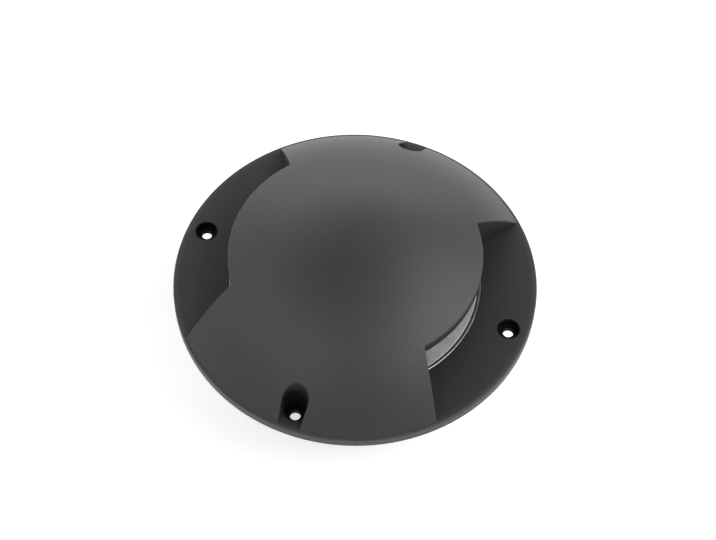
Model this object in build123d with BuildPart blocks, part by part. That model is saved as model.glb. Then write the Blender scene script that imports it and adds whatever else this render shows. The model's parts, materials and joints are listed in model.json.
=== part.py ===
from build123d import *

import os
from math import sqrt

# A two-way in-ground well light. All sizes are in millimetres and degrees.
# Height zero is the underside of the cover's flange, the axis is Z,
# the windows face +X and -X, and the cable gland points to +Y.

# Cover casting
flange_radius = 90.0
flange_thickness = 6.0
rim_round = 1.0
rim_chamfer = 0.5
rim_ledge = 1.2
dome_rise = 42.0
dome_skin = 5.0
dome_edge_round = 0.6
brim_overhang = 0.8
brim_edge_round = 0.4
window_corner_round = 0.8
window_half_angle = 37.5
window_wall_angle = 56.6
window_side_wall = 4.0
chamber_wall = 4.0
pocket_rim_margin = 11.0
underside_relief_gap = 0.5
underside_relief_depth = 0.4

# Holes that fix the flange to the ground sleeve or paving
fixing_count = 4
fixing_edge_distance = 10.0
fixing_hole_radius = 2.65
fixing_head_radius = 5.1
fixing_land = 2.6
slot_margin = 0.3
slot_draft = 4.5

# Lens, its gaskets and the clamp ring
lens_rim_width = 5.2
lens_rim_thickness = 3.2
lens_bevel = 0.5
lens_play = 0.4
lens_gasket_side = 0.6
lens_gasket_sheet = 0.8
lens_gasket_drop = 0.5
seat_gasket_width = 7.0
seat_gasket_sheet = 1.0
ring_collar = 1.2
ring_hole_margin = 7.0
ring_thickness = 2.2
ring_gap = 0.3
ring_corner_round = 0.3
clamp_edge_distance = 3.0
clamp_lens_margin = 4.2
ring_screw_count = 6
ring_screw_start = 30.0
ring_screw_radius = 1.5
ring_screw_head_radius = 3.0
ring_screw_head_height = 1.7
ring_screw_length = 8.0
ring_screw_drive = 2.0

# Screws that hold the housing to the cover
body_screw_count = 4
body_screw_start = 45.0
body_screw_radius = 2.0
body_screw_head_radius = 3.5
body_screw_head_height = 4.0
body_screw_length = 16.0
body_screw_drive = 3.0
body_boss_radius = 5.0
body_boss_tap_depth = 10.0
body_washer_radius = 4.4
body_washer_thickness = 0.8
screw_play = 0.25
thread_play = 0.05
tap_runout = 0.6

# Housing casting
housing_depth = 50.0
housing_flange_thickness = 8.0
housing_base_round = 1.5
can_step = 3.8
can_wall = 6.0
can_base_wall = 4.0
floor_thickness = 4.0
plate_ledge_width = 8.0
plate_room = 4.0
fin_step_angle = 15.0
fin_thickness = 2.4
fin_top_reach = 3.0
fin_foot_reach = 1.5
fin_foot_height = 4.0

# Light engine
plate_thickness = 3.0
plate_play = 0.4
plate_screw_count = 4
plate_screw_start = 45.0
plate_screw_inset = 3.5
plate_boss_radius = 4.0
pan_screw_radius = 1.5
pan_head_radius = 2.75
pan_head_height = 2.2
pan_drive = 2.0
drive_depth_share = 0.6
plate_screw_length = 10.0
board_screw_gap = 2.75
board_thickness = 1.6
pad_thickness = 0.5
pad_margin = 0.5
board_screw_count = 4
board_screw_inset = 5.0
board_screw_length = 6.0
led_count = 12
led_inset = 10.0
led_side = 5.0
led_height = 1.6
led_window_radius = 2.0
led_window_depth = 0.3
reflector_base = 1.5
reflector_throat_inset = 6.0
reflector_foot_inset = 1.0
reflector_mouth_play = 0.8
reflector_wall = 1.2
reflector_drop = 0.4

# Lead hole, grommet and the board's connector
lead_radius = 0.8
lead_spacing = 4.4
lead_hole_radius = 5.5
lead_hole_setback = 12.0
lead_bend = 2.4
grommet_wall = 1.2
grommet_flange = 1.2
connector_width = 10.0
connector_length = 6.5
connector_height = 4.0
connector_gap = 9.5
connector_round = 0.5

# Driver
driver_width = 68.0
driver_length = 36.0
driver_height = 18.0
driver_wall = 2.0
driver_lid_thickness = 2.0
driver_lid_play = 0.2
driver_wiring_room = 9.0
driver_corner = 2.0
driver_ear_reach = 10.0
driver_ear_width = 8.0
driver_ear_thickness = 2.0
driver_boss_height = 4.0
driver_screw_length = 6.0
driver_board_margin = 1.0
driver_board_height = 3.0
driver_post_side = 4.0
transformer_width = 18.0
transformer_length = 16.0
transformer_height = 9.0
transformer_inset = 16.0
transformer_chamfer = 1.0
capacitor_radius = 5.0
capacitor_height = 9.0
capacitor_inset = 14.0
capacitor_round = 0.6
wire_play = 0.3

# Terminal block and its wiring
terminal_ways = 3
terminal_pitch = 9.0
terminal_width = 38.0
terminal_length = 14.0
terminal_height = 13.0
terminal_wiring_room = 9.0
terminal_pad_height = 4.0
terminal_bore_height = 6.5
terminal_tube_radius = 2.9
terminal_tube_wall = 1.2
terminal_tube_inset = 1.0
terminal_clamp_radius = 1.2
terminal_clamp_length = 5.0
terminal_clamp_reach = 3.5
terminal_clamp_hole_radius = 1.9
terminal_fixing_spacing = 31.0
terminal_screw_length = 16.0
supply_lead_radius = 1.1
supply_lead_hold = 3.0
earth_side_room = 10.0
earth_back_step = 4.0
earth_run_room = 6.0
earth_bend = 5.0
earth_boss_radius = 4.5
earth_lug_thickness = 0.8
earth_lug_radius = 4.0
earth_screw_radius = 2.0
earth_screw_head_radius = 3.5
earth_screw_length = 8.0

# Cable gland
gland_rise = 11.5
gland_flat_depth = 2.5
gland_pad_radius = 11.8
gland_thread_radius = 8.0
gland_thread_play = 0.2
gland_thread_past_nut = 1.5
gland_locknut_thickness = 3.5
gland_locknut_width = 20.0
gland_washer_thickness = 1.5
gland_washer_radius = 11.0
gland_hex_width = 22.0
gland_hex_length = 5.0
gland_tube_length = 9.0
gland_tube_bore_radius = 6.0
gland_cable_radius = 4.0
gland_core_bore_radius = 4.6
gland_nut_width = 21.0
gland_nut_gap = 0.5
gland_nut_length = 17.0
gland_nut_hex_length = 9.0
gland_nut_taper = 18.0
gland_nut_shoulder = 0.4
gland_nut_corner = 1.0
gland_seal_play = 0.1

# Levels and radii that follow from the sizes above
fixing_circle_radius = flange_radius - fixing_edge_distance
pocket_radius = flange_radius - pocket_rim_margin
ring_radius = fixing_circle_radius - ring_hole_margin
clamp_circle_radius = ring_radius - clamp_edge_distance
lens_rim_radius = clamp_circle_radius - clamp_lens_margin
lens_radius = lens_rim_radius - lens_rim_width

dome_foot_radius = flange_radius - rim_ledge
dome_top = flange_thickness + dome_rise
dome_sphere_radius = (dome_foot_radius**2 + dome_rise**2) / (2 * dome_rise)
dome_centre = dome_top - dome_sphere_radius
skin_sphere_radius = dome_sphere_radius - dome_skin

lens_step = -lens_gasket_sheet
lens_base = lens_step - lens_rim_thickness
collar_inner_radius = lens_radius + lens_gasket_side
collar_outer_radius = collar_inner_radius + ring_collar
cover_bore_radius = collar_outer_radius + ring_gap
brim_radius = cover_bore_radius - brim_overhang
recess_depth = ring_thickness + ring_gap
recess_radius = ring_radius + ring_gap
relief_radius = clamp_circle_radius + body_boss_radius + underside_relief_gap
seat_level = lens_base - seat_gasket_sheet
lens_pocket_radius = lens_rim_radius + lens_play

can_top_radius = lens_rim_radius - can_step
upper_cavity_radius = can_top_radius - can_wall
lower_cavity_radius = upper_cavity_radius - plate_ledge_width
can_base_radius = lower_cavity_radius + can_base_wall
fin_top_radius = can_top_radius + fin_top_reach
fin_foot_radius = can_base_radius + fin_foot_reach

floor_level = floor_thickness - housing_depth
driver_lid_base = floor_level + driver_height
driver_lid_top = driver_lid_base + driver_lid_thickness
plate_base = driver_lid_top + plate_room
plate_top = plate_base + plate_thickness
pad_top = plate_top + pad_thickness
board_top = pad_top + board_thickness
reflector_floor = board_top + reflector_base
reflector_top = seat_level - reflector_drop

plate_screw_circle_radius = upper_cavity_radius - plate_screw_inset
board_radius = plate_screw_circle_radius - pan_head_radius - board_screw_gap
board_screw_circle_radius = board_radius - board_screw_inset
reflector_foot_radius = board_radius - reflector_foot_inset
reflector_throat_radius = board_screw_circle_radius - reflector_throat_inset
led_circle_radius = reflector_throat_radius - led_inset

gland_height = floor_level + gland_rise
gland_seat_y = can_top_radius
gland_inner_y = lower_cavity_radius - gland_flat_depth
gland_wall = gland_seat_y - gland_inner_y
gland_tip_y = gland_inner_y - gland_locknut_thickness - gland_thread_past_nut
terminal_back_y = gland_tip_y - terminal_wiring_room
terminal_front_y = terminal_back_y - terminal_length
terminal_middle_y = terminal_back_y - terminal_length / 2
driver_back_y = terminal_front_y - driver_wiring_room
lead_hole_y = driver_back_y - lead_hole_setback
earth_x = terminal_width / 2 + earth_side_room
earth_y = terminal_front_y + earth_back_step
earth_run_y = terminal_front_y - earth_run_room
transformer_x = transformer_inset - driver_width / 2
capacitor_x = driver_width / 2 - capacitor_inset

driver_board_base = floor_level + driver_board_height
driver_board_top = driver_board_base + board_thickness
driver_middle_y = driver_back_y - driver_length / 2
terminal_base = floor_level + terminal_pad_height
terminal_top = terminal_base + terminal_height
wire_level = terminal_base + terminal_bore_height
earth_lug_top = wire_level - supply_lead_radius
earth_boss_top = earth_lug_top - earth_lug_thickness
slot_half_width = fixing_head_radius + slot_margin


def sphere_height(sphere_radius, radius):
    """Height of a sphere about the dome's centre, at a radius from the axis."""
    return dome_centre + sqrt(sphere_radius**2 - radius**2)


def polar_points(radius, count, start):
    """Plan positions of a ring of places, as X and Y."""
    return [tuple(place.position)[:2] for place in PolarLocations(radius, count, start)]


body_screw_points = polar_points(clamp_circle_radius, body_screw_count, body_screw_start)
ring_screw_points = polar_points(clamp_circle_radius, ring_screw_count, ring_screw_start)
plate_screw_points = polar_points(
    plate_screw_circle_radius, plate_screw_count, plate_screw_start
)
board_screw_points = polar_points(board_screw_circle_radius, board_screw_count, 0.0)
driver_screw_x = (driver_width + driver_ear_reach) / 2
driver_screw_points = [(side * driver_screw_x, driver_middle_y) for side in (-1, 1)]
terminal_screw_points = [
    (side * terminal_fixing_spacing / 2, terminal_middle_y) for side in (-1, 1)
]
terminal_xs = [terminal_pitch * (way - (terminal_ways - 1) / 2) for way in range(terminal_ways)]
lead_xs = [-lead_spacing / 2, lead_spacing / 2]


def cap_screws(points, seat, tip, shank_radius, head_radius, head_height, drive_width):
    """Screws whose heads bear at one height and whose shanks end at another."""
    outward = -1 if tip > seat else 1
    with BuildPart() as screws:
        with BuildSketch(Plane.XY.offset(seat)):
            with Locations(*points):
                Circle(head_radius)
        extrude(amount=outward * head_height)
        with BuildSketch(Plane.XY.offset(seat)):
            with Locations(*points):
                Circle(shank_radius)
        extrude(amount=tip - seat)
        with BuildSketch(Plane.XY.offset(seat + outward * head_height)):
            with Locations(*points):
                RegularPolygon(drive_width / 2, 6, major_radius=False)
        extrude(amount=-outward * head_height * drive_depth_share, mode=Mode.SUBTRACT)
    return screws


def lead(points, radius, bend):
    """A round lead along straight runs with tangent bends."""
    with BuildPart() as wire:
        with BuildLine() as route:
            if len(points) > 2:
                FilletPolyline(*points, radius=bend)
            else:
                Line(*points)
        with BuildSketch(Plane(origin=route.line @ 0, z_dir=route.line % 0)):
            Circle(radius)
        sweep(path=route.line)
    return wire


# Cover: a domed cap on a flange, cut by two windows and two screw slots
with BuildSketch() as window_plan:
    with BuildLine():
        brim_arc = CenterArc((0, 0), brim_radius, -window_half_angle, 2 * window_half_angle)
        left_wall = PolarLine(brim_arc @ 1, 2 * flange_radius, window_wall_angle)
        right_wall = PolarLine(brim_arc @ 0, 2 * flange_radius, -window_wall_angle)
        Line(left_wall @ 1, right_wall @ 1)
    make_face()
    mirror(about=Plane.YZ)

with BuildSketch() as slot_plan:
    with Locations((0, fixing_circle_radius)):
        Circle(slot_half_width)
        Rectangle(2 * slot_half_width, flange_radius, align=(Align.CENTER, Align.MIN))
    mirror(about=Plane.XZ)

with BuildSketch() as window_guard:
    add(window_plan.sketch)
    offset(amount=window_side_wall, kind=Kind.INTERSECTION)

with BuildSketch() as slot_guard:
    add(slot_plan.sketch)
    offset(amount=window_side_wall)

with BuildPart() as cover_pockets:
    with BuildSketch():
        Circle(pocket_radius)
        Circle(cover_bore_radius + chamber_wall, mode=Mode.SUBTRACT)
        add(window_guard.sketch, mode=Mode.SUBTRACT)
        add(slot_guard.sketch, mode=Mode.SUBTRACT)
        with Locations(*body_screw_points):
            Circle(body_boss_radius, mode=Mode.SUBTRACT)
    extrude(amount=dome_rise)
    with Locations((0, 0, dome_centre)):
        Sphere(skin_sphere_radius, rotation=(90, 0, 0), mode=Mode.INTERSECT)

with BuildPart() as cover_chamber:
    Cylinder(cover_bore_radius, dome_top, align=(Align.CENTER, Align.CENTER, Align.MIN))
    with Locations((0, 0, dome_centre)):
        Sphere(skin_sphere_radius, rotation=(90, 0, 0), mode=Mode.INTERSECT)

# The spheres lie with their poles along Y, so no pole or seam shows on the dome.
with BuildPart() as dome:
    with Locations((0, 0, dome_centre)):
        Sphere(dome_sphere_radius, rotation=(90, 0, 0))
    split(bisect_by=Plane.XY.offset(flange_thickness), keep=Keep.TOP)
    with BuildSketch(Plane.XY.offset(flange_thickness)):
        add(window_plan.sketch)
    extrude(amount=dome_rise, mode=Mode.SUBTRACT)
    fillet(dome.edges().filter_by(Axis.Z), window_corner_round)
    with BuildSketch(Plane.XY.offset(flange_thickness)):
        add(slot_plan.sketch)
    extrude(amount=dome_rise, taper=-slot_draft, mode=Mode.SUBTRACT)
    outer_skin = dome.faces().filter_by(GeomType.SPHERE)
    foot = dome.faces().sort_by(Axis.Z)[0].edges()
    crest_edges = [edge for edge in outer_skin.edges() if edge not in foot]
    fillet(crest_edges, dome_edge_round)

with BuildPart() as cover:
    Cylinder(flange_radius, flange_thickness, align=(Align.CENTER, Align.CENTER, Align.MIN))
    fillet(cover.edges().group_by(Axis.Z)[-1], rim_round)
    chamfer(cover.edges().group_by(Axis.Z)[0], rim_chamfer)
    add(dome.part)
    add(cover_chamber.part, mode=Mode.SUBTRACT)
    brim_level = sphere_height(skin_sphere_radius, brim_radius)
    brim_lips = cover.edges().filter_by_position(Axis.Z, brim_level - 0.01, brim_level + 0.01)
    fillet(brim_lips, brim_edge_round)
    add(cover_pockets.part, mode=Mode.SUBTRACT)
    with BuildSketch():
        Circle(recess_radius)
        with Locations(*body_screw_points):
            Circle(body_boss_radius, mode=Mode.SUBTRACT)
    extrude(amount=recess_depth, mode=Mode.SUBTRACT)
    # A turned groove parts the flange's bearing face from the ends of the bosses.
    with BuildSketch():
        Circle(relief_radius)
        Circle(recess_radius, mode=Mode.SUBTRACT)
    extrude(amount=underside_relief_depth, mode=Mode.SUBTRACT)
    with Locations((0, 0, flange_thickness)):
        with PolarLocations(fixing_circle_radius, fixing_count):
            CounterBoreHole(
                radius=fixing_hole_radius,
                counter_bore_radius=fixing_head_radius,
                counter_bore_depth=flange_thickness - fixing_land,
            )
    with BuildSketch():
        with Locations(*body_screw_points):
            Circle(body_screw_radius + thread_play)
    extrude(amount=body_boss_tap_depth, mode=Mode.SUBTRACT)

# Lens: a stepped disc of toughened glass, flush with the window floors
with BuildPart() as lens_glass:
    with BuildSketch(Plane.XY.offset(lens_base)):
        Circle(lens_radius)
    extrude(amount=flange_thickness - lens_base)
    chamfer(lens_glass.edges().group_by(Axis.Z)[-1], lens_bevel)
    with BuildSketch(Plane.XY.offset(lens_base)):
        Circle(lens_rim_radius)
    extrude(amount=lens_rim_thickness)

with BuildPart() as lens_gasket:
    with BuildSketch(Plane.XY.offset(lens_step)):
        Circle(lens_rim_radius)
        Circle(lens_radius, mode=Mode.SUBTRACT)
    extrude(amount=lens_gasket_sheet)
    with BuildSketch():
        Circle(collar_inner_radius)
        Circle(lens_radius, mode=Mode.SUBTRACT)
    extrude(amount=flange_thickness - lens_gasket_drop)

with BuildPart() as seat_gasket:
    with BuildSketch(Plane.XY.offset(seat_level)):
        Circle(lens_rim_radius)
        Circle(lens_rim_radius - seat_gasket_width, mode=Mode.SUBTRACT)
    extrude(amount=seat_gasket_sheet)

with BuildPart() as clamp_ring:
    with BuildSketch():
        Circle(collar_outer_radius)
        Circle(collar_inner_radius, mode=Mode.SUBTRACT)
    extrude(amount=flange_thickness)
    fillet(clamp_ring.edges().group_by(Axis.Z)[-1], ring_corner_round)
    with BuildSketch():
        Circle(ring_radius)
        Circle(collar_inner_radius, mode=Mode.SUBTRACT)
        with Locations(*body_screw_points):
            Circle(body_boss_radius + ring_gap, mode=Mode.SUBTRACT)
    extrude(amount=ring_thickness)
    with Locations((0, 0, ring_thickness)):
        with Locations(*ring_screw_points):
            CounterSinkHole(
                radius=ring_screw_radius + screw_play,
                counter_sink_radius=ring_screw_head_radius + thread_play,
                counter_sink_angle=90,
            )

with BuildPart() as clamp_ring_screws:
    with Locations((0, 0, ring_thickness)):
        with Locations(*ring_screw_points):
            Cylinder(
                ring_screw_radius,
                ring_screw_length,
                align=(Align.CENTER, Align.CENTER, Align.MAX),
            )
            Cone(
                ring_screw_head_radius - ring_screw_head_height,
                ring_screw_head_radius,
                ring_screw_head_height,
                align=(Align.CENTER, Align.CENTER, Align.MAX),
            )
    with BuildSketch(Plane.XY.offset(ring_thickness)):
        with Locations(*ring_screw_points):
            RegularPolygon(ring_screw_drive / 2, 6, major_radius=False)
    extrude(amount=-ring_screw_head_height * drive_depth_share, mode=Mode.SUBTRACT)

# Housing: a finned can with a seat for the lens and a ledge for the heat plate
gland_plane = Plane(origin=(0, gland_seat_y, gland_height), x_dir=(1, 0, 0), z_dir=(0, 1, 0))
fin_angles = [fin_step_angle * (step + 0.5) for step in range(round(360 / fin_step_angle))]
fin_planes = [
    Plane.XZ.rotated((0, 0, angle)) for angle in fin_angles if abs(angle - 90) > fin_step_angle
]

with BuildPart() as housing:
    with BuildSketch(Plane.XZ):
        with BuildLine():
            Polyline(
                (0, -housing_depth),
                (can_base_radius, -housing_depth),
                (can_top_radius, -housing_flange_thickness),
                (ring_radius, -housing_flange_thickness),
                (ring_radius, 0),
                (0, 0),
                close=True,
            )
        make_face()
    revolve(axis=Axis.Z)
    fillet(housing.edges().group_by(Axis.Z)[0], housing_base_round)
    with BuildSketch():
        with Locations(*body_screw_points):
            Circle(body_boss_radius)
    extrude(amount=-housing_flange_thickness)
    with BuildSketch(*fin_planes):
        with BuildLine():
            Polyline(
                (lower_cavity_radius, -housing_flange_thickness),
                (fin_top_radius, -housing_flange_thickness),
                (fin_foot_radius, fin_foot_height - housing_depth),
                (lower_cavity_radius, fin_foot_height - housing_depth),
                close=True,
            )
        make_face()
    extrude(amount=fin_thickness / 2, both=True)
    with BuildSketch(gland_plane):
        Circle(gland_pad_radius)
    extrude(amount=-gland_wall)
    with BuildSketch():
        Circle(lens_pocket_radius)
    extrude(amount=seat_level, mode=Mode.SUBTRACT)
    with BuildSketch():
        Circle(upper_cavity_radius)
    extrude(amount=plate_base, mode=Mode.SUBTRACT)
    with BuildSketch(Plane.XY.offset(floor_level)):
        Circle(lower_cavity_radius)
        with Locations(*plate_screw_points):
            Circle(plate_boss_radius, mode=Mode.SUBTRACT)
    extrude(amount=plate_base - floor_level, mode=Mode.SUBTRACT)
    with BuildSketch(gland_plane.offset(-gland_wall)):
        Circle(gland_pad_radius)
    extrude(amount=lower_cavity_radius - gland_inner_y)
    with BuildSketch(Plane.XY.offset(floor_level)):
        with Locations(*driver_screw_points):
            Circle(plate_boss_radius)
    extrude(amount=driver_boss_height)
    with BuildSketch(Plane.XY.offset(floor_level)):
        with Locations((0, terminal_middle_y)):
            Rectangle(terminal_width, terminal_length)
    extrude(amount=terminal_pad_height)
    with BuildSketch(Plane.XY.offset(floor_level)):
        with Locations((earth_x, earth_y)):
            Circle(earth_boss_radius)
    extrude(amount=earth_boss_top - floor_level)
    with BuildSketch(gland_plane):
        Circle(gland_thread_radius + gland_thread_play)
    extrude(amount=-gland_wall, mode=Mode.SUBTRACT)
    with BuildSketch():
        with Locations(*body_screw_points):
            Circle(body_screw_radius + screw_play)
    extrude(amount=-housing_flange_thickness, mode=Mode.SUBTRACT)
    with BuildSketch():
        with Locations(*ring_screw_points):
            Circle(ring_screw_radius + thread_play)
    extrude(amount=ring_thickness - ring_screw_length - tap_runout, mode=Mode.SUBTRACT)
    with BuildSketch(Plane.XY.offset(plate_base)):
        with Locations(*plate_screw_points):
            Circle(pan_screw_radius + thread_play)
    extrude(amount=plate_thickness - plate_screw_length - tap_runout, mode=Mode.SUBTRACT)
    with BuildSketch(Plane.XY.offset(floor_level + driver_boss_height)):
        with Locations(*driver_screw_points):
            Circle(pan_screw_radius + thread_play)
    extrude(amount=driver_ear_thickness - driver_screw_length - tap_runout, mode=Mode.SUBTRACT)
    with BuildSketch(Plane.XY.offset(terminal_base)):
        with Locations(*terminal_screw_points):
            Circle(pan_screw_radius + thread_play)
    extrude(amount=terminal_height - terminal_screw_length - tap_runout, mode=Mode.SUBTRACT)
    with BuildSketch(Plane.XY.offset(earth_boss_top)):
        with Locations((earth_x, earth_y)):
            Circle(earth_screw_radius + thread_play)
    extrude(amount=earth_lug_thickness - earth_screw_length - tap_runout, mode=Mode.SUBTRACT)

# Screws and washers between housing and cover
with BuildPart() as cover_screw_washers:
    with BuildSketch(Plane.XY.offset(-housing_flange_thickness)):
        with Locations(*body_screw_points):
            Circle(body_washer_radius)
            Circle(body_screw_radius + screw_play, mode=Mode.SUBTRACT)
    extrude(amount=-body_washer_thickness)

body_head_seat = -housing_flange_thickness - body_washer_thickness
cover_screws = cap_screws(
    body_screw_points,
    body_head_seat,
    body_head_seat + body_screw_length,
    body_screw_radius,
    body_screw_head_radius,
    body_screw_head_height,
    body_screw_drive,
)

# Heat plate on the ledge, with the board, its pad and the reflector screwed on top
with BuildPart() as heat_plate:
    with BuildSketch(Plane.XY.offset(plate_base)):
        Circle(upper_cavity_radius - plate_play)
        with Locations(*plate_screw_points):
            Circle(pan_screw_radius + screw_play, mode=Mode.SUBTRACT)
        with Locations(*board_screw_points):
            Circle(pan_screw_radius + thread_play, mode=Mode.SUBTRACT)
        with Locations((0, lead_hole_y)):
            Circle(lead_hole_radius, mode=Mode.SUBTRACT)
    extrude(amount=plate_thickness)

with BuildPart() as thermal_pad:
    with BuildSketch(Plane.XY.offset(plate_top)):
        Circle(board_radius - pad_margin)
        with Locations(*board_screw_points):
            Circle(pan_screw_radius + screw_play, mode=Mode.SUBTRACT)
        with Locations((0, lead_hole_y)):
            Circle(lead_hole_radius + grommet_flange + pad_margin, mode=Mode.SUBTRACT)
    extrude(amount=pad_thickness)

with BuildPart() as led_board:
    with BuildSketch(Plane.XY.offset(pad_top)):
        Circle(board_radius)
        with Locations(*board_screw_points):
            Circle(pan_screw_radius + screw_play, mode=Mode.SUBTRACT)
        with Locations((0, lead_hole_y)):
            Circle(lead_hole_radius + grommet_flange + pad_margin, mode=Mode.SUBTRACT)
    extrude(amount=board_thickness)

with BuildPart() as led_packages:
    with BuildSketch(Plane.XY.offset(board_top)):
        with PolarLocations(led_circle_radius, led_count):
            Rectangle(led_side, led_side)
    extrude(amount=led_height)
    with BuildSketch(Plane.XY.offset(board_top + led_height)):
        with PolarLocations(led_circle_radius, led_count):
            Circle(led_window_radius)
    extrude(amount=-led_window_depth, mode=Mode.SUBTRACT)

connector_front_y = lead_hole_y - connector_gap + lead_radius
with BuildPart() as board_connector:
    with BuildSketch(Plane.XY.offset(board_top)):
        with Locations((0, connector_front_y - connector_length / 2)):
            Rectangle(connector_width, connector_length)
    extrude(amount=connector_height)
    fillet(board_connector.edges().filter_by(Axis.Z), connector_round)

with BuildPart() as reflector:
    with BuildSketch(Plane.XZ):
        with BuildLine():
            mouth_radius = upper_cavity_radius - reflector_mouth_play
            Polyline(
                (reflector_throat_radius, board_top),
                (board_radius, board_top),
                (mouth_radius, reflector_top),
                (mouth_radius - reflector_wall, reflector_top),
                (reflector_foot_radius - reflector_wall, reflector_floor),
                (reflector_throat_radius, reflector_floor),
                close=True,
            )
        make_face()
    revolve(axis=Axis.Z)
    with BuildSketch(Plane.XY.offset(board_top)):
        with Locations(*board_screw_points):
            Circle(pan_screw_radius + screw_play)
    extrude(amount=reflector_base, mode=Mode.SUBTRACT)

board_screws = cap_screws(
    board_screw_points,
    reflector_floor,
    reflector_floor - board_screw_length,
    pan_screw_radius,
    pan_head_radius,
    pan_head_height,
    pan_drive,
)
heat_plate_screws = cap_screws(
    plate_screw_points,
    plate_top,
    plate_top - plate_screw_length,
    pan_screw_radius,
    pan_head_radius,
    pan_head_height,
    pan_drive,
)

grommet_bore = lead_hole_radius - grommet_wall
with BuildPart() as lead_grommet:
    with BuildSketch(Plane.XY.offset(plate_base - grommet_flange)):
        with Locations((0, lead_hole_y)):
            Circle(lead_hole_radius + grommet_flange)
            Circle(grommet_bore, mode=Mode.SUBTRACT)
    extrude(amount=grommet_flange)
    with BuildSketch(Plane.XY.offset(plate_base)):
        with Locations((0, lead_hole_y)):
            Circle(lead_hole_radius)
            Circle(grommet_bore, mode=Mode.SUBTRACT)
    extrude(amount=plate_thickness)
    with BuildSketch(Plane.XY.offset(plate_top)):
        with Locations((0, lead_hole_y)):
            Circle(lead_hole_radius + grommet_flange)
            Circle(grommet_bore, mode=Mode.SUBTRACT)
    extrude(amount=grommet_flange)

# Driver: a plastic box with a lid, screwed to the can's floor
driver_plane = Plane(origin=(0, driver_middle_y, floor_level))
with BuildPart() as driver_case:
    with BuildSketch(driver_plane):
        RectangleRounded(driver_width, driver_length, driver_corner)
    extrude(amount=driver_height)
    with BuildSketch(driver_plane.offset(driver_wall)):
        Rectangle(driver_width - 2 * driver_wall, driver_length - 2 * driver_wall)
    extrude(amount=driver_height - driver_wall, mode=Mode.SUBTRACT)
    post_x = driver_width / 2 - driver_wall - driver_post_side / 2
    post_y = driver_length / 2 - driver_wall - driver_post_side / 2
    with BuildSketch(driver_plane.offset(driver_wall)):
        with GridLocations(2 * post_x, 2 * post_y, 2, 2):
            Rectangle(driver_post_side, driver_post_side)
    extrude(amount=driver_board_height - driver_wall)
    with BuildSketch(driver_plane.offset(driver_boss_height)):
        with GridLocations(driver_width + driver_ear_reach, 0, 2, 1):
            Rectangle(driver_ear_reach, driver_ear_width)
            Circle(pan_screw_radius + screw_play, mode=Mode.SUBTRACT)
    extrude(amount=driver_ear_thickness)
    with BuildSketch(Plane.XZ.offset(-driver_back_y)):
        with Locations(*[(x, wire_level) for x in terminal_xs[:2]]):
            Circle(supply_lead_radius + wire_play)
    extrude(amount=driver_wall, mode=Mode.SUBTRACT)

with BuildPart() as driver_lid:
    with BuildSketch(Plane.XY.offset(driver_lid_base)):
        with Locations((0, driver_middle_y)):
            RectangleRounded(driver_width, driver_length, driver_corner)
    extrude(amount=driver_lid_thickness)
    with BuildSketch(Plane.XY.offset(driver_lid_base)):
        with Locations((0, driver_middle_y)):
            Rectangle(
                driver_width - 2 * driver_wall - 2 * driver_lid_play,
                driver_length - 2 * driver_wall - 2 * driver_lid_play,
            )
    extrude(amount=-driver_lid_thickness / 2)
    with BuildSketch(Plane.XY.offset(driver_lid_base - driver_lid_thickness)):
        with Locations(*[(x, lead_hole_y) for x in lead_xs]):
            Circle(lead_radius + wire_play)
    extrude(amount=2 * driver_lid_thickness, mode=Mode.SUBTRACT)

with BuildPart() as driver_board:
    with BuildSketch(Plane.XY.offset(driver_board_base)):
        with Locations((0, driver_middle_y)):
            Rectangle(
                driver_width - 2 * driver_wall - 2 * driver_board_margin,
                driver_length - 2 * driver_wall - 2 * driver_board_margin,
            )
    extrude(amount=board_thickness)

with BuildPart() as driver_transformer:
    with BuildSketch(Plane.XY.offset(driver_board_top)):
        with Locations((transformer_x, driver_middle_y)):
            Rectangle(transformer_width, transformer_length)
    extrude(amount=transformer_height)
    chamfer(driver_transformer.edges().filter_by(Axis.Z), transformer_chamfer)

with BuildPart() as driver_capacitor:
    with BuildSketch(Plane.XY.offset(driver_board_top)):
        with Locations((capacitor_x, driver_middle_y)):
            Circle(capacitor_radius)
    extrude(amount=capacitor_height)
    fillet(driver_capacitor.edges().group_by(Axis.Z)[-1], capacitor_round)

driver_screws = cap_screws(
    driver_screw_points,
    floor_level + driver_boss_height + driver_ear_thickness,
    floor_level + driver_boss_height + driver_ear_thickness - driver_screw_length,
    pan_screw_radius,
    pan_head_radius,
    pan_head_height,
    pan_drive,
)

# Terminal block with its brass tubes and clamp screws
terminal_clamp_ys = [terminal_middle_y + side * terminal_clamp_reach for side in (-1, 1)]
terminal_clamp_points = [(x, y) for x in terminal_xs for y in terminal_clamp_ys]
with BuildPart() as terminal_block:
    with BuildSketch(Plane.XY.offset(terminal_base)):
        with Locations((0, terminal_middle_y)):
            Rectangle(terminal_width, terminal_length)
        with Locations(*terminal_screw_points):
            Circle(pan_screw_radius + screw_play, mode=Mode.SUBTRACT)
    extrude(amount=terminal_height)
    with BuildSketch(Plane.XZ.offset(-terminal_back_y)):
        with Locations(*[(x, wire_level) for x in terminal_xs]):
            Circle(terminal_tube_radius + thread_play)
    extrude(amount=terminal_length, mode=Mode.SUBTRACT)
    with BuildSketch(Plane.XY.offset(terminal_top)):
        with Locations(*terminal_clamp_points):
            Circle(terminal_clamp_hole_radius)
    extrude(amount=wire_level - terminal_top, mode=Mode.SUBTRACT)

with BuildPart() as terminal_tubes:
    with BuildSketch(Plane.XZ.offset(terminal_tube_inset - terminal_back_y)):
        with Locations(*[(x, wire_level) for x in terminal_xs]):
            Circle(terminal_tube_radius)
            Circle(terminal_tube_radius - terminal_tube_wall, mode=Mode.SUBTRACT)
    extrude(amount=terminal_length - 2 * terminal_tube_inset)
    with BuildSketch(Plane.XY.offset(wire_level + terminal_tube_radius)):
        with Locations(*terminal_clamp_points):
            Circle(terminal_clamp_radius + thread_play)
    extrude(amount=-terminal_tube_radius, mode=Mode.SUBTRACT)

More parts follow.
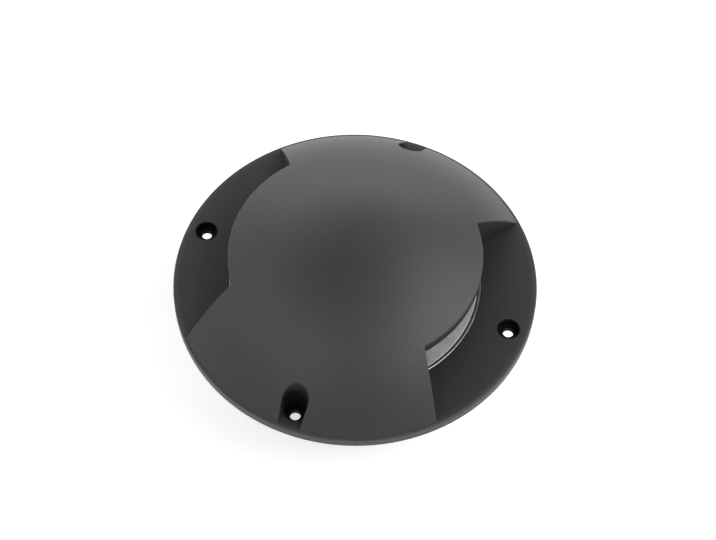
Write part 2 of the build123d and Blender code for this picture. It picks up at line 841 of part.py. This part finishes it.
clamp_tip = wire_level + supply_lead_radius + thread_play
with BuildPart() as terminal_clamp_screws:
    with BuildSketch(Plane.XY.offset(clamp_tip)):
        with Locations(*terminal_clamp_points):
            Circle(terminal_clamp_radius)
    extrude(amount=terminal_clamp_length)

terminal_screws = cap_screws(
    terminal_screw_points,
    terminal_top,
    terminal_top - terminal_screw_length,
    pan_screw_radius,
    pan_head_radius,
    pan_head_height,
    pan_drive,
)

# Leads inside the can
lead_level = board_top + connector_height / 2
led_leads = [
    lead(
        [
            (x, lead_hole_y, driver_board_top),
            (x, lead_hole_y, lead_level),
            (x, connector_front_y, lead_level),
        ],
        lead_radius,
        lead_bend,
    )
    for x in lead_xs
]
supply_end_y = driver_back_y - driver_wall
supply_leads = [
    lead(
        [(x, terminal_front_y + supply_lead_hold, wire_level), (x, supply_end_y, wire_level)],
        supply_lead_radius,
        earth_bend,
    )
    for x in terminal_xs[:2]
]
earth_barrel_y = earth_y - earth_lug_radius
earth_lead = lead(
    [
        (terminal_xs[2], terminal_front_y + supply_lead_hold, wire_level),
        (terminal_xs[2], earth_run_y, wire_level),
        (earth_x, earth_run_y, wire_level),
        (earth_x, earth_barrel_y, wire_level),
    ],
    supply_lead_radius,
    earth_bend,
)

with BuildPart() as earth_lug:
    with BuildSketch(Plane.XY.offset(earth_boss_top)):
        with Locations((earth_x, earth_y)):
            Circle(earth_lug_radius)
            Circle(earth_screw_radius + screw_play, mode=Mode.SUBTRACT)
    extrude(amount=earth_lug_thickness)

earth_screw = cap_screws(
    [(earth_x, earth_y)],
    earth_lug_top,
    earth_lug_top - earth_screw_length,
    earth_screw_radius,
    earth_screw_head_radius,
    body_screw_head_height,
    body_screw_drive,
)

# Cable gland in the can's wall
gland_collar_plane = gland_plane.offset(gland_washer_thickness)
gland_tube_plane = gland_collar_plane.offset(gland_hex_length)
gland_thread_length = gland_washer_thickness + gland_seat_y - gland_tip_y
with BuildPart() as gland_body:
    with BuildSketch(gland_collar_plane):
        Circle(gland_thread_radius)
    extrude(amount=-gland_thread_length)
    with BuildSketch(gland_collar_plane):
        RegularPolygon(gland_hex_width / 2, 6, major_radius=False)
    extrude(amount=gland_hex_length)
    with BuildSketch(gland_tube_plane):
        Circle(gland_thread_radius)
    extrude(amount=gland_tube_length)
    with BuildSketch(gland_tube_plane):
        Circle(gland_tube_bore_radius)
    extrude(amount=gland_tube_length, mode=Mode.SUBTRACT)
    with BuildSketch(gland_tube_plane):
        Circle(gland_core_bore_radius)
    extrude(amount=-gland_hex_length - gland_thread_length, mode=Mode.SUBTRACT)

with BuildPart() as gland_washer:
    with BuildSketch(gland_plane):
        Circle(gland_washer_radius)
        Circle(gland_thread_radius + gland_thread_play, mode=Mode.SUBTRACT)
    extrude(amount=gland_washer_thickness)

with BuildPart() as gland_locknut:
    with BuildSketch(gland_plane.offset(-gland_wall)):
        RegularPolygon(gland_locknut_width / 2, 6, major_radius=False)
        Circle(gland_thread_radius + thread_play, mode=Mode.SUBTRACT)
    extrude(amount=-gland_locknut_thickness)

with BuildPart() as gland_seal:
    with BuildSketch(gland_tube_plane.offset(gland_seal_play)):
        Circle(gland_tube_bore_radius - gland_seal_play)
        Circle(gland_cable_radius, mode=Mode.SUBTRACT)
    extrude(amount=gland_tube_length)

nut_cavity_length = gland_tube_length + gland_nut_gap
with BuildPart() as gland_cap_nut:
    with BuildSketch(gland_tube_plane.offset(gland_nut_gap)):
        RegularPolygon(gland_nut_width / 2, 6, major_radius=False)
    extrude(amount=gland_nut_hex_length)
    with BuildSketch(gland_tube_plane.offset(gland_nut_gap + gland_nut_hex_length)):
        Circle(gland_nut_width / 2 - gland_nut_shoulder)
    extrude(amount=gland_nut_length - gland_nut_hex_length, taper=gland_nut_taper)
    fillet(gland_cap_nut.edges().filter_by(GeomType.CIRCLE).sort_by(Axis.Y)[-1], gland_nut_corner)
    with BuildSketch(gland_tube_plane.offset(gland_nut_gap)):
        Circle(gland_thread_radius + thread_play)
    extrude(amount=nut_cavity_length, mode=Mode.SUBTRACT)
    with BuildSketch(gland_tube_plane.offset(gland_nut_gap)):
        Circle(gland_core_bore_radius)
    extrude(amount=gland_nut_length, mode=Mode.SUBTRACT)

pieces = {
    "cover": cover,
    "lens_glass": lens_glass,
    "lens_gasket": lens_gasket,
    "lens_seat_gasket": seat_gasket,
    "lens_clamp_ring": clamp_ring,
    "clamp_ring_screws": clamp_ring_screws,
    "housing": housing,
    "cover_screws": cover_screws,
    "cover_screw_washers": cover_screw_washers,
    "heat_plate": heat_plate,
    "heat_plate_screws": heat_plate_screws,
    "thermal_pad": thermal_pad,
    "led_board": led_board,
    "led_packages": led_packages,
    "board_connector": board_connector,
    "board_screws": board_screws,
    "reflector": reflector,
    "lead_grommet": lead_grommet,
    "driver_case": driver_case,
    "driver_lid": driver_lid,
    "driver_board": driver_board,
    "driver_transformer": driver_transformer,
    "driver_capacitor": driver_capacitor,
    "driver_screws": driver_screws,
    "terminal_block": terminal_block,
    "terminal_tubes": terminal_tubes,
    "terminal_clamp_screws": terminal_clamp_screws,
    "terminal_screws": terminal_screws,
    "led_lead_positive": led_leads[1],
    "led_lead_negative": led_leads[0],
    "supply_lead_live": supply_leads[0],
    "supply_lead_neutral": supply_leads[1],
    "earth_lead": earth_lead,
    "earth_lug": earth_lug,
    "earth_screw": earth_screw,
    "gland_body": gland_body,
    "gland_washer": gland_washer,
    "gland_locknut": gland_locknut,
    "gland_seal": gland_seal,
    "gland_cap_nut": gland_cap_nut,
}
os.makedirs("parts", exist_ok=True)
for name, piece in pieces.items():
    piece.part.label = name
    export_step(piece.part, f"parts/{name}.step")
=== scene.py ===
import json
from math import cos, radians, sin

import bpy
from mathutils import Matrix, Vector


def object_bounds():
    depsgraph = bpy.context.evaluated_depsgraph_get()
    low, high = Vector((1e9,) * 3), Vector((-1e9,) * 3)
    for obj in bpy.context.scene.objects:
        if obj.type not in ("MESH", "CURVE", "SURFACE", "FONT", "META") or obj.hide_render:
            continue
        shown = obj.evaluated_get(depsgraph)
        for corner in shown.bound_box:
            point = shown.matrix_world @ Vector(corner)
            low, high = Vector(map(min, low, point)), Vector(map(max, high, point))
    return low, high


# Two-way in-ground well light. Everything is in metres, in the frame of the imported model:
# the origin is the centre of the fixing circle on the flange's underside, +Z is up,
# and the windows face +X and -X.

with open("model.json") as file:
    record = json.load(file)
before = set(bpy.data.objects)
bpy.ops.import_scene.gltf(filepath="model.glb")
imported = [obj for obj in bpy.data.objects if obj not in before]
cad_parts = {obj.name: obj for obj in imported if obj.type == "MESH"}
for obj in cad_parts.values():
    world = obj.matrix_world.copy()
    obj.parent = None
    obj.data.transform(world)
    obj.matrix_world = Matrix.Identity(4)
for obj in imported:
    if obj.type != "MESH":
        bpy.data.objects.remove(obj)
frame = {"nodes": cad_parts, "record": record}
cad_low, cad_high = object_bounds()
nodes = frame["nodes"]
MM = 0.001

# ---- Camera: where the photograph was taken from, worked out from the rim, holes and windows ----

PHOTO_WIDTH = 716
FOCAL_PIXELS = 1918.0
SENSOR_WIDTH = 36.0
VIEW_AZIMUTH = radians(20.27)
VIEW_ELEVATION = radians(57.49)
VIEW_DISTANCE = 0.9546
VIEW_PAN = radians(0.08)
VIEW_TILT = radians(0.47)
VIEW_ROLL = radians(0.70)


def place_camera():
    """Looks at the origin from the photograph's side, with its small pan, tilt and roll."""
    heading = Matrix.Rotation(VIEW_AZIMUTH, 3, "Z")
    forward = heading @ Vector((0, cos(VIEW_ELEVATION), -sin(VIEW_ELEVATION)))
    right = heading @ Vector((1, 0, 0))
    up = right.cross(forward)
    place = forward * -VIEW_DISTANCE
    forward, right = (
        forward * cos(VIEW_PAN) + right * sin(VIEW_PAN),
        right * cos(VIEW_PAN) - forward * sin(VIEW_PAN),
    )
    forward, up = (
        forward * cos(VIEW_TILT) + up * sin(VIEW_TILT),
        up * cos(VIEW_TILT) - forward * sin(VIEW_TILT),
    )
    right, up = (
        right * cos(VIEW_ROLL) + up * sin(VIEW_ROLL),
        up * cos(VIEW_ROLL) - right * sin(VIEW_ROLL),
    )
    data = bpy.data.cameras.new("camera")
    data.sensor_fit = "HORIZONTAL"
    data.sensor_width = SENSOR_WIDTH
    data.lens = FOCAL_PIXELS * SENSOR_WIDTH / PHOTO_WIDTH
    data.clip_start = 0.01
    data.clip_end = 50.0
    camera = bpy.data.objects.new("camera", data)
    bpy.context.scene.collection.objects.link(camera)
    turn = Matrix((right, up, -forward)).transposed().to_4x4()
    camera.matrix_world = Matrix.Translation(place) @ turn
    bpy.context.scene.camera = camera


place_camera()

# ---- Finishes ----

# Where the usual values of a noise end
NOISE_LOW = 0.3
NOISE_HIGH = 0.7

# Fixing holes, and the screw slots in the dome over two of them, which are darkened as painted shade
FIXING_CIRCLE_RADIUS = 80 * MM
FIXING_HEAD_RADIUS = 5.4 * MM
SLOT_SPREAD = 0.079
SLOT_REACH_OUT = 8 * MM
SLOT_FADE_FROM = 13 * MM
SLOT_FADE_TO = 20 * MM
SLOT_TOP_SHARE = 0.45
RECESS_EDGE_FROM = 0.1 * MM
RECESS_EDGE_TO = 0.6 * MM
# Painted shade: the near-black that the counterbores, slots and faces under the dome are blended to
PAINTED_SHADE_COLOUR = (0.012, 0.012, 0.012)
RECESS_ROUGHER = 0.25

# The dome's sphere over the flange, and how far the faces that lie under it are darkened as painted shade
COVER_FLOOR = 6 * MM
FLOOR_FADE_FROM = COVER_FLOOR - 0.8 * MM
FLOOR_FADE_TO = COVER_FLOOR - 0.1 * MM
DOME_RISE = 42 * MM
DOME_FOOT_RADIUS = 88.8 * MM
DOME_RADIUS = (DOME_FOOT_RADIUS**2 + DOME_RISE**2) / (2 * DOME_RISE)
DOME_CENTRE = COVER_FLOOR + DOME_RISE - DOME_RADIUS
DOME_SHADE_EDGE = 0.25
DOME_SHADE_INSIDE = 0.15
DOME_SHADE_EDGE_FROM = 0.5 * MM
DOME_SHADE_EDGE_TO = 1.5 * MM
DOME_SHADE_DEEPEST = 20 * MM


class Finish:
    """One material with its shader, and short ways to add the textures that it is made of."""

    def __init__(self, name):
        self.material = bpy.data.materials.new(name)
        self.material.use_nodes = True
        self.tree = self.material.node_tree
        self.shader = self.tree.nodes["Principled BSDF"]
        self.place = self.new("ShaderNodeTexCoord").outputs["Object"]

    def new(self, kind, **settings):
        node = self.tree.nodes.new(kind)
        for key, value in settings.items():
            setattr(node, key, value)
        return node

    def join(self, output, node, socket):
        self.tree.links.new(output, node.inputs[socket])

    def set(self, **values):
        for key, value in values.items():
            socket = self.shader.inputs[key.replace("_", " ")]
            socket.default_value = (*value, 1.0) if isinstance(value, tuple) else value
        return self

    def stretch(self, x, y, z):
        """The object's coordinates, scaled on each axis."""
        node = self.new("ShaderNodeMapping")
        self.join(self.place, node, "Vector")
        node.inputs["Scale"].default_value = (x, y, z)
        return node.outputs["Vector"]

    def axes(self):
        """The object's x, y and z, each on its own."""
        node = self.new("ShaderNodeSeparateXYZ")
        self.join(self.place, node, "Vector")
        return node.outputs

    def radius(self):
        """Distance from the light's axis."""
        flat = self.stretch(1, 1, 0)
        node = self.new("ShaderNodeVectorMath", operation="LENGTH")
        self.join(flat, node, 0)
        return node.outputs["Value"]

    def noise(self, size, detail=2.0, roughness=0.5, at=None):
        """Cloudy pattern whose blotches are about as wide as size."""
        node = self.new("ShaderNodeTexNoise")
        self.join(at or self.place, node, "Vector")
        node.inputs["Scale"].default_value = 1 / size
        node.inputs["Detail"].default_value = detail
        node.inputs["Roughness"].default_value = roughness
        return node.outputs["Fac"]

    def lines(self, value, size, detail=2.0):
        """Streaks that follow one value, such as a radius."""
        node = self.new("ShaderNodeTexNoise", noise_dimensions="1D")
        self.join(value, node, "W")
        node.inputs["Scale"].default_value = 1 / size
        node.inputs["Detail"].default_value = detail
        return node.outputs["Fac"]

    def cells(self, size):
        """Distance from the middle of small cells that are about as wide as size."""
        node = self.new("ShaderNodeTexVoronoi")
        self.join(self.place, node, "Vector")
        node.inputs["Scale"].default_value = 1 / size
        return node.outputs["Distance"]

    def span(self, value, low, high, start=0.0, end=1.0):
        """Maps start..end of a value to low..high."""
        node = self.new("ShaderNodeMapRange")
        self.join(value, node, "Value")
        node.inputs["From Min"].default_value = start
        node.inputs["From Max"].default_value = end
        node.inputs["To Min"].default_value = low
        node.inputs["To Max"].default_value = high
        return node.outputs["Result"]

    def spread(self, value, low, high):
        """Maps the usual values of a noise to low..high."""
        return self.span(value, low, high, NOISE_LOW, NOISE_HIGH)

    def blend(self, factor, first, second):
        """Mixes two colours, whose sockets on this node are 6 and 7."""
        node = self.new("ShaderNodeMix", data_type="RGBA")
        self.join(factor, node, 0)
        for index, value in ((6, first), (7, second)):
            if isinstance(value, tuple):
                node.inputs[index].default_value = (*value, 1.0)
            else:
                self.join(value, node, index)
        return node.outputs[2]

    def math(self, operation, first, second):
        node = self.new("ShaderNodeMath", operation=operation)
        for index, value in enumerate((first, second)):
            if isinstance(value, (int, float)):
                node.inputs[index].default_value = value
            else:
                self.join(value, node, index)
        return node.outputs["Value"]

    def relief(self, height, depth, strength=1.0, over=None):
        """Bump of a real depth, on top of an earlier one."""
        node = self.new("ShaderNodeBump")
        self.join(height, node, "Height")
        node.inputs["Distance"].default_value = depth
        node.inputs["Strength"].default_value = strength
        if over:
            self.join(over, node, "Normal")
        return node.outputs["Normal"]

    def colour(self, output):
        self.join(output, self.shader, "Base Color")
        return self

    def rough(self, output):
        self.join(output, self.shader, "Roughness")
        return self

    def bumps(self, output):
        self.join(output, self.shader, "Normal")
        return self


def fixing_recess_shade(finish):
    """Mask for painted shade: one in the four counterbores and the foot of the two screw slots, less up
    the slots, else nought.
    """
    x, y, z = finish.axes()
    climb = finish.math("MAXIMUM", finish.math("SUBTRACT", z, COVER_FLOOR), 0)
    wall = finish.math("ADD", finish.math("MULTIPLY", climb, SLOT_SPREAD), FIXING_HEAD_RADIUS)
    masks = []
    for along, across, slotted in ((x, y, False), (y, x, True)):
        out = finish.math("SUBTRACT", finish.math("ABSOLUTE", along, 0), FIXING_CIRCLE_RADIUS)
        inward = finish.math("MINIMUM", out, 0) if slotted else out
        inward_squared = finish.math("MULTIPLY", inward, inward)
        across_squared = finish.math("MULTIPLY", across, across)
        reach = finish.math("SQRT", finish.math("ADD", inward_squared, across_squared), 0)
        past_wall = finish.math("SUBTRACT", reach, wall)
        mask = finish.span(past_wall, 1, 0, RECESS_EDGE_FROM, RECESS_EDGE_TO)
        if slotted:
            outer = finish.span(out, 1, 0, 0, SLOT_REACH_OUT)
            upper = finish.span(z, 1, SLOT_TOP_SHARE, SLOT_FADE_FROM, SLOT_FADE_TO)
            mask = finish.math("MULTIPLY", finish.math("MULTIPLY", mask, outer), upper)
        masks.append(mask)
    return finish.math("MAXIMUM", *masks)


def dome_painted_shade(finish):
    """Painted shade: nought on the dome's skin, and more the deeper a face lies under it, down to the
    windows' floors.

    The brim edges and window walls get it, and so do the cover's inner faces, which no view shows.
    """
    from_centre = finish.new("ShaderNodeVectorMath", operation="DISTANCE")
    finish.join(finish.place, from_centre, 0)
    from_centre.inputs[1].default_value = (0, 0, DOME_CENTRE)
    depth = finish.math("SUBTRACT", DOME_RADIUS, from_centre.outputs["Value"])
    edge = finish.span(depth, 0, DOME_SHADE_EDGE, DOME_SHADE_EDGE_FROM, DOME_SHADE_EDGE_TO)
    inside = finish.span(depth, 0, DOME_SHADE_INSIDE, DOME_SHADE_EDGE_TO, DOME_SHADE_DEEPEST)
    over_flange = finish.span(finish.axes()["Z"], 0, 1, FLOOR_FADE_FROM, FLOOR_FADE_TO)
    return finish.math("MULTIPLY", finish.math("ADD", edge, inside), over_flange)


def powder_coat(name, dark, light, roughness, grain, with_painted_shade=False):
    """Baked powder: fine grit over a slow orange peel, with a slight drift of tone; with painted shade,
    darker in the counterbores, slots and under the dome.
    """
    finish = Finish(name)
    drift = finish.noise(35 * MM, 3.0)
    grit = finish.noise(grain, 3.0, 0.6)
    peel = finish.noise(4 * grain, 2.0)
    slow_share = finish.math("MULTIPLY", drift, 0.6)
    fine_share = finish.math("MULTIPLY", grit, 0.4)
    tone = finish.math("ADD", slow_share, fine_share)
    coat = finish.blend(finish.spread(tone, 0, 1), dark, light)
    matt = finish.spread(grit, roughness - 0.09, roughness + 0.07)
    if with_painted_shade:
        shade_mask = finish.math("MAXIMUM", fixing_recess_shade(finish), dome_painted_shade(finish))
        coat = finish.blend(shade_mask, coat, PAINTED_SHADE_COLOUR)
        matt = finish.math("ADD", matt, finish.math("MULTIPLY", shade_mask, RECESS_ROUGHER))
        # Painted shade, for the tone only: the cover is one painted casting, but under the mask it turns
        # to near-black metal, which is less glossy.
        finish.join(shade_mask, finish.shader, "Metallic")
    finish.colour(coat)
    finish.rough(matt)
    slow = finish.relief(peel, 0.12 * MM, 0.5)
    finish.bumps(finish.relief(grit, 0.05 * MM, 0.7, slow))
    return finish.material


def frosted_glass(name):
    """Etched glass, the same all through: partly milky, partly clear, with a fine silky grain."""
    finish = Finish(name)
    etch = finish.noise(0.8 * MM, 3.0, 0.7)
    haze = finish.noise(9 * MM, 2.0)
    slow_share = finish.math("MULTIPLY", haze, 0.35)
    fine_share = finish.math("MULTIPLY", etch, 0.65)
    milk = finish.span(finish.math("ADD", slow_share, fine_share), 0, 1, 0.38, 0.62)
    finish.colour(finish.blend(milk, (0.5, 0.495, 0.485), (0.76, 0.755, 0.735)))
    finish.rough(finish.spread(etch, 0.38, 0.52))
    finish.bumps(finish.relief(etch, 0.03 * MM, 0.7))
    return finish.set(Transmission_Weight=0.45, IOR=1.5).material


def lighter(colour, gain):
    return tuple(min(1.0, channel * gain) for channel in colour)


def turned_steel(name, base, roughness):
    """Stainless steel with a lathe's fine rings round the light's axis, also on the screws."""
    finish = Finish(name)
    rings = finish.lines(finish.radius(), 0.12 * MM, 3.0)
    cloud = finish.noise(2.5 * MM, 3.0)
    finish.colour(finish.blend(finish.spread(cloud, 0, 1), base, lighter(base, 1.12)))
    finish.rough(finish.spread(rings, roughness - 0.07, roughness + 0.08))
    finish.bumps(finish.relief(rings, 0.005 * MM, 0.4))
    return finish.set(Metallic=1.0).material


def bright_metal(name, base, roughness):
    """Plated or milled metal with a soft mottling and hairlines along one way."""
    finish = Finish(name)
    hair = finish.noise(0.15 * MM, 2.0, 0.5, finish.stretch(1, 0.04, 1))
    cloud = finish.noise(3 * MM, 3.0)
    finish.colour(finish.blend(finish.spread(cloud, 0, 1), base, lighter(base, 1.1)))
    finish.rough(finish.spread(hair, roughness - 0.06, roughness + 0.08))
    finish.bumps(finish.relief(hair, 0.002 * MM, 0.25))
    return finish.set(Metallic=1.0).material


def soft_rubber(name, dark, light, roughness=0.6):
    """Moulded rubber or silicone: matt, faintly dusty, with a fine pebble."""
    finish = Finish(name)
    dust = finish.noise(3 * MM, 3.0)
    pebble = finish.noise(0.2 * MM, 2.0)
    finish.colour(finish.blend(finish.span(dust, 0, 1, 0.35, 0.7), dark, light))
    finish.rough(finish.spread(pebble, roughness - 0.06, roughness + 0.08))
    finish.bumps(finish.relief(pebble, 0.02 * MM, 0.5))
    return finish.set(Specular_IOR_Level=0.35).material


def moulded_plastic(name, dark, light, roughness=0.42):
    """Injection moulding with a fine spark-eroded texture."""
    finish = Finish(name)
    drift = finish.noise(12 * MM, 2.0)
    pits = finish.cells(0.35 * MM)
    finish.colour(finish.blend(finish.spread(drift, 0, 1), dark, light))
    finish.rough(finish.span(pits, roughness - 0.04, roughness + 0.06, 0.1, 0.7))
    finish.bumps(finish.relief(pits, 0.015 * MM, 0.5))
    return finish.material


def circuit_board(name, dark, light):
    """Solder mask over faint copper tracks."""
    finish = Finish(name)
    tracks = finish.noise(1.6 * MM, 0.0, 0.5, finish.stretch(1, 0.15, 1))
    raised = finish.span(tracks, 0, 1, 0.48, 0.52)
    finish.colour(finish.blend(raised, dark, light))
    finish.rough(finish.spread(finish.noise(1 * MM), 0.32, 0.4))
    finish.bumps(finish.relief(raised, 0.03 * MM, 0.6))
    return finish.material


def earth_sleeve(name):
    """Green insulation with yellow patches, drawn out along z."""
    finish = Finish(name)
    patches = finish.noise(1.1 * MM, 0.0, 0.5, finish.stretch(1, 1, 0.3))
    stripe = finish.span(patches, 0, 1, 0.49, 0.51)
    finish.colour(finish.blend(stripe, (0.02, 0.2, 0.03), (0.7, 0.55, 0.03)))
    finish.bumps(finish.relief(finish.noise(0.3 * MM), 0.01 * MM, 0.4))
    return finish.set(Roughness=0.45).material


FINISHES = {
    "cover_coat": powder_coat(
        "cover_coat", (0.0185, 0.0185, 0.0183), (0.024, 0.024, 0.0238), 0.5, 0.45 * MM, with_painted_shade=True
    ),
    "housing_coat": powder_coat(
        "housing_coat", (0.018, 0.018, 0.019), (0.025, 0.025, 0.026), 0.55, 0.7 * MM
    ),
    "frosted_glass": frosted_glass("frosted_glass"),
    "silicone": soft_rubber("silicone", (0.012, 0.012, 0.012), (0.02, 0.02, 0.02)),
    "stainless": turned_steel("stainless", (0.3, 0.3, 0.297), 0.32),
    "plate_aluminium": bright_metal("plate_aluminium", (0.7, 0.71, 0.72), 0.35),
    "nickel_brass": bright_metal("nickel_brass", (0.56, 0.54, 0.5), 0.3),
    "terminal_brass": bright_metal("terminal_brass", (0.72, 0.55, 0.25), 0.3),
    "white_mask": circuit_board("white_mask", (0.78, 0.78, 0.76), (0.84, 0.84, 0.82)),
    "led_phosphor": moulded_plastic("led_phosphor", (0.75, 0.62, 0.2), (0.82, 0.7, 0.28), 0.3),
    "reflector_white": moulded_plastic("reflector_white", (0.84, 0.84, 0.83), (0.88, 0.88, 0.87), 0.3),
    "thermal_silicone": soft_rubber("thermal_silicone", (0.36, 0.4, 0.44), (0.42, 0.46, 0.5)),
    "driver_plastic": moulded_plastic("driver_plastic", (0.7, 0.7, 0.67), (0.76, 0.76, 0.73)),
    "board_green": circuit_board("board_green", (0.02, 0.13, 0.05), (0.04, 0.2, 0.08)),
    "winding_tape": moulded_plastic("winding_tape", (0.6, 0.42, 0.05), (0.68, 0.5, 0.09), 0.35),
    "capacitor_sleeve": moulded_plastic(
        "capacitor_sleeve", (0.02, 0.02, 0.035), (0.03, 0.03, 0.05), 0.25
    ),
    "terminal_nylon": moulded_plastic("terminal_nylon", (0.74, 0.72, 0.66), (0.8, 0.78, 0.72), 0.4),
    "lead_red": soft_rubber("lead_red", (0.42, 0.02, 0.015), (0.5, 0.03, 0.02), 0.45),
    "lead_black": soft_rubber("lead_black", (0.015, 0.015, 0.015), (0.025, 0.025, 0.025), 0.45),
    "lead_brown": soft_rubber("lead_brown", (0.13, 0.05, 0.02), (0.17, 0.07, 0.03), 0.45),
    "lead_blue": soft_rubber("lead_blue", (0.02, 0.08, 0.36), (0.03, 0.1, 0.42), 0.45),
    "lead_earth": earth_sleeve("lead_earth"),
}

for part in frame["record"]["subparts"]:
    cad_object = nodes[part["node"]]
    cad_object.data.materials.clear()
    cad_object.data.materials.append(FINISHES[part["material_slot"]])

# ---- Floor, backdrop and light ----

FLOOR_SIZE = 6.0
FLOOR_GAP = 0.1 * MM
FLOOR_COLOUR = (0.8, 0.8, 0.8)
FLOOR_LIFT = 0.5
WORLD_LEVEL = 0.25
WALL_TOP = 0.25
CEILING_START = 0.45
CEILING_SHADE = 0.25


def seen_directly(tree):
    """One for rays that the camera, a gloss or a glass sends."""
    paths = tree.nodes.new("ShaderNodeLightPath")
    total = paths.outputs["Is Camera Ray"]
    for name in ("Is Glossy Ray", "Is Transmission Ray"):
        adder = tree.nodes.new("ShaderNodeMath")
        adder.operation = "MAXIMUM"
        tree.links.new(total, adder.inputs[0])
        tree.links.new(paths.outputs[name], adder.inputs[1])
        total = adder.outputs["Value"]
    return total


def floor_finish():
    """White paper: it keeps the shadow, and looks white to the camera."""
    material = bpy.data.materials.new("floor_paper")
    material.use_nodes = True
    tree = material.node_tree
    shader = tree.nodes["Principled BSDF"]
    shader.inputs["Base Color"].default_value = (*FLOOR_COLOUR, 1.0)
    shader.inputs["Roughness"].default_value = 0.9
    shader.inputs["Emission Color"].default_value = (1, 1, 1, 1)
    level = tree.nodes.new("ShaderNodeMath")
    level.operation = "MULTIPLY"
    level.inputs[1].default_value = FLOOR_LIFT
    tree.links.new(seen_directly(tree), level.inputs[0])
    tree.links.new(level.outputs["Value"], shader.inputs["Emission Strength"])
    return material


def lay_floor():
    bpy.ops.mesh.primitive_plane_add(size=FLOOR_SIZE, location=(0, 0, cad_low.z - FLOOR_GAP))
    floor = bpy.context.object
    floor.name = "floor"
    floor.data.materials.append(floor_finish())


def light_world():
    """White walls all round under a dimmer ceiling."""
    world = bpy.data.worlds.new("studio")
    bpy.context.scene.world = world
    world.use_nodes = True
    tree = world.node_tree
    backdrop = tree.nodes["Background"]
    direction = tree.nodes.new("ShaderNodeTexCoord")
    height = tree.nodes.new("ShaderNodeSeparateXYZ")
    tree.links.new(direction.outputs["Generated"], height.inputs["Vector"])
    ceiling = tree.nodes.new("ShaderNodeMapRange")
    tree.links.new(height.outputs["Z"], ceiling.inputs["Value"])
    ceiling.inputs["From Min"].default_value = WALL_TOP
    ceiling.inputs["From Max"].default_value = CEILING_START
    ceiling.inputs["To Min"].default_value = 1.0
    ceiling.inputs["To Max"].default_value = CEILING_SHADE
    tree.links.new(ceiling.outputs["Result"], backdrop.inputs["Color"])
    level = tree.nodes.new("ShaderNodeMapRange")
    level.inputs["To Min"].default_value = WORLD_LEVEL
    level.inputs["To Max"].default_value = 1.0
    tree.links.new(seen_directly(tree), level.inputs["Value"])
    tree.links.new(level.outputs["Result"], backdrop.inputs["Strength"])


def soft_box(name, place, width, height, power):
    """A flat panel of light that looks from place to the origin."""
    data = bpy.data.lights.new(name, "AREA")
    data.shape = "RECTANGLE"
    data.size = width
    data.size_y = height
    data.energy = power
    lamp = bpy.data.objects.new(name, data)
    bpy.context.scene.collection.objects.link(lamp)
    place = Vector(place)
    turn = (-place).to_track_quat("-Z", "Y").to_matrix().to_4x4()
    lamp.matrix_world = Matrix.Translation(place) @ turn


lay_floor()
light_world()
soft_box("right_box", (1.39, 0.51, 1.34), width=2.0, height=1.6, power=33.5)
soft_box("left_box", (-1.52, -0.42, 1.23), width=1.2, height=0.9, power=6.2)
soft_box("back_box", (-0.63, 1.7, 0.85), width=2.4, height=0.6, power=17)
soft_box("back_left_box", (-1.39, 0.64, 1.29), width=1.4, height=1.0, power=3.7)
soft_box("front_left_box", (-0.54, -1.17, 1.53), width=1.4, height=1.0, power=11.3)
soft_box("front_right_box", (1.17, -0.54, 1.53), width=1.4, height=1.0, power=7.6)

bpy.context.scene.view_settings.view_transform = "Standard"
